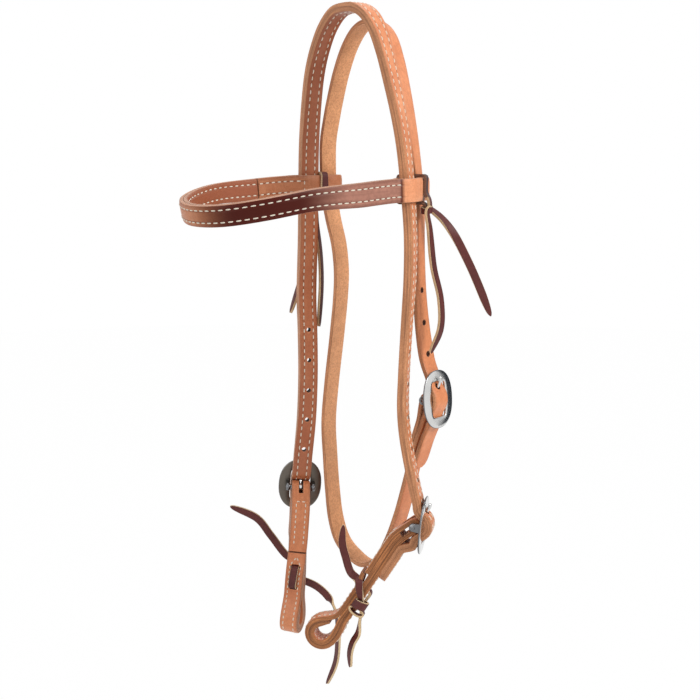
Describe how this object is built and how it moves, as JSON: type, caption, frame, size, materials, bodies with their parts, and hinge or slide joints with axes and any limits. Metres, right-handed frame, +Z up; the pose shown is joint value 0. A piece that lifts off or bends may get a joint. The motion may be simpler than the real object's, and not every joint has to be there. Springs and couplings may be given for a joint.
{
  "type": "western headstall",
  "caption": "Browband headstall of stitched leather straps with oval buckles, a throatlatch and folded bit ends tied with leather laces.",
  "frame": {"origin": "middle of the crown strap's underside at its top, where it rests behind the horse's ears", "axes": "+Z up, -Y forward to the browband, +X towards the near side with the throatlatch buckle"},
  "size_m": [0.2012, 0.2334, 0.5997],
  "materials": {
    "strap_leather": "oiled harness leather, grain side out",
    "lining_leather": "oiled harness leather, flesh side",
    "lace_leather": "burgundy latigo lace, waxed",
    "polished_steel": "polished stainless steel"
  },
  "bodies": {
    "headstall": {"crown_outer_ply": "strap_leather", "crown_lining_ply": "strap_leather", "throatlatch_strap": "strap_leather", "browband_strap": "strap_leather", "browband_lining": "lining_leather", "off_browband_tie": "lace_leather", "near_browband_tie": "lace_leather", "off_buckle_plate": "polished_steel", "off_buckle_bar": "polished_steel", "near_buckle_plate": "polished_steel", "near_buckle_bar": "polished_steel", "throat_buckle_plate": "polished_steel", "throat_buckle_bar": "polished_steel"},
    "off_bit_end": {"off_bit_end_strap": "strap_leather", "off_bit_end_lining": "lining_leather", "off_bit_tie": "lace_leather"},
    "near_bit_end": {"near_bit_end_strap": "strap_leather", "near_bit_end_lining": "lining_leather", "near_bit_tie": "lace_leather"},
    "off_tongue": {"off_buckle_tongue": "polished_steel"},
    "near_tongue": {"near_buckle_tongue": "polished_steel"},
    "throat_tongue": {"throat_buckle_tongue": "polished_steel"}
  },
  "joints": [
    {"name": "off_bit_end_swing", "type": "hinge", "parent": "headstall", "child": "off_bit_end", "pos_m": [-0.07123, -0.00239, -0.39536], "axis": [-0.5637, -0.8231, 0.069], "range_deg": [0, 20]},
    {"name": "near_bit_end_swing", "type": "hinge", "parent": "headstall", "child": "near_bit_end", "pos_m": [0.06534, 0.00609, -0.39929], "axis": [-0.5878, 0.809, 0], "range_deg": [0, 40]},
    {"name": "off_tongue_lift", "type": "hinge", "parent": "headstall", "child": "off_tongue", "pos_m": [-0.07123, -0.00239, -0.39536], "axis": [-0.5637, -0.8231, 0.069], "range_deg": [0, 3]},
    {"name": "near_tongue_lift", "type": "hinge", "parent": "headstall", "child": "near_tongue", "pos_m": [0.06534, 0.00609, -0.39929], "axis": [-0.5878, 0.809, 0], "range_deg": [0, 4]},
    {"name": "throat_tongue_lift", "type": "hinge", "parent": "headstall", "child": "throat_tongue", "pos_m": [0.05958, 0.02811, -0.30084], "axis": [-0.1392, 0.9903, 0], "range_deg": [0, 5]}
  ]
}
